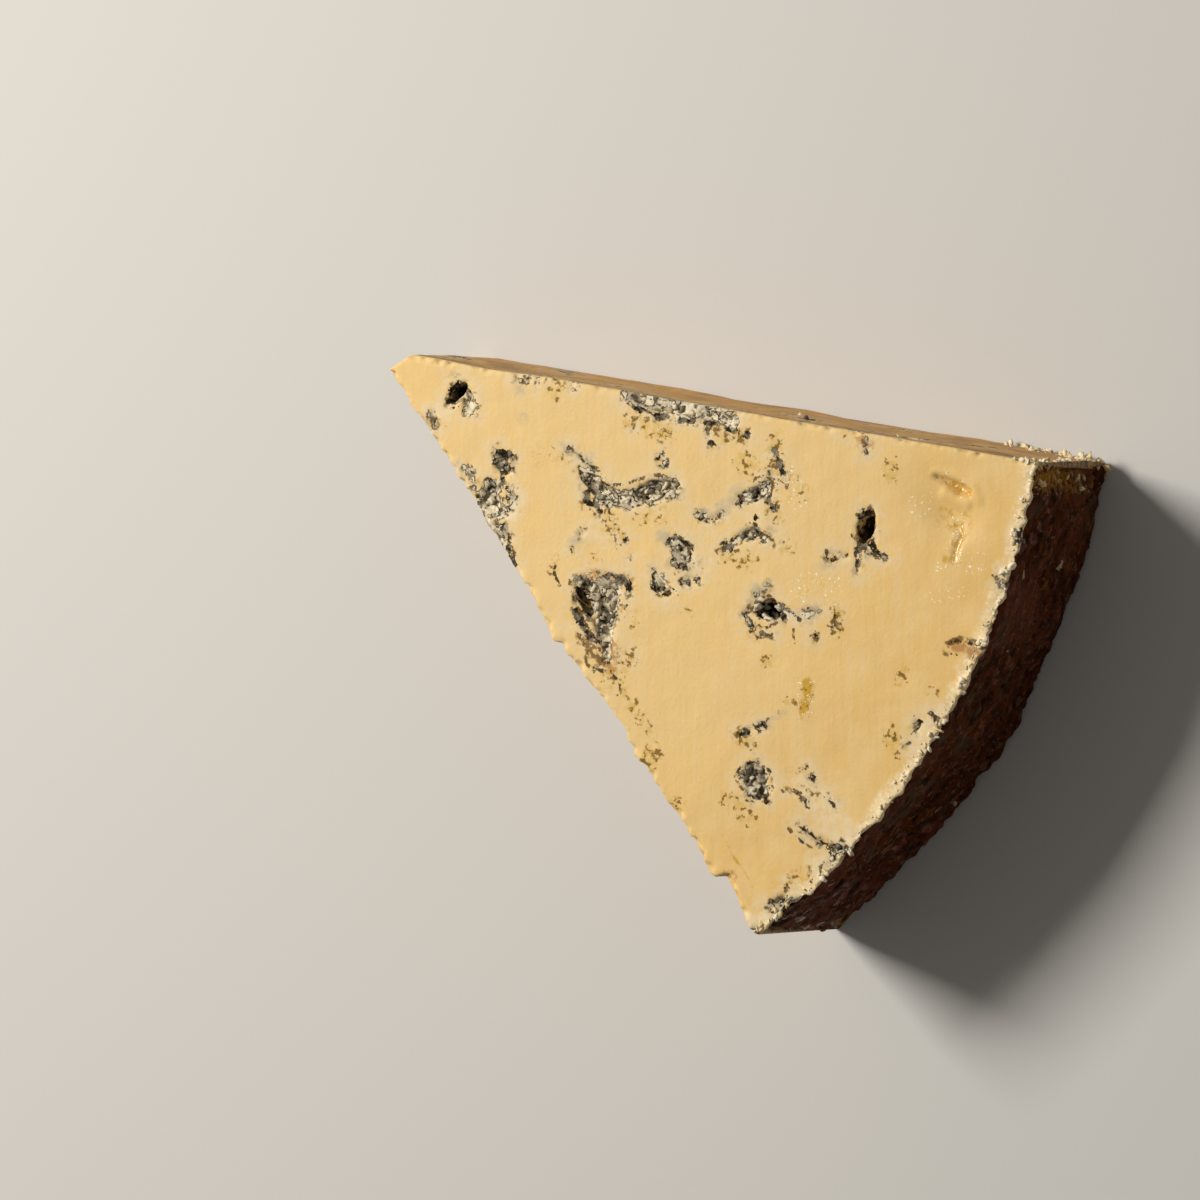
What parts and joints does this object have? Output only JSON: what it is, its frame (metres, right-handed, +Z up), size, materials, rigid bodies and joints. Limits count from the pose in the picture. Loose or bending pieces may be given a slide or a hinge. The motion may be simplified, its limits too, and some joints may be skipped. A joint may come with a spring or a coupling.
{
  "type": "blue cheese wedge",
  "caption": "Wedge of natural-rind blue cheese cut from a round wheel, lying on a flat cut face, with blue mould veins and pockets in its cream paste and a knobbly brown rind.",
  "frame": {"origin": "middle of the bounding box in plan, on the lower flat cut face that the wedge lies on", "axes": "+X along the wedge from its tip to its rind, +Z up, out of the upper flat cut face"},
  "size_m": [0.0976, 0.0776, 0.031],
  "materials": {
    "cheese": "cream-yellow semi-soft paste with a faint oily sheen, blue-grey mould in pockets and veins, and a rough dry brown, grey and pink rind on the curved side"
  },
  "bodies": {
    "root": {"cheese_wedge": "cheese"}
  },
  "joints": []
}
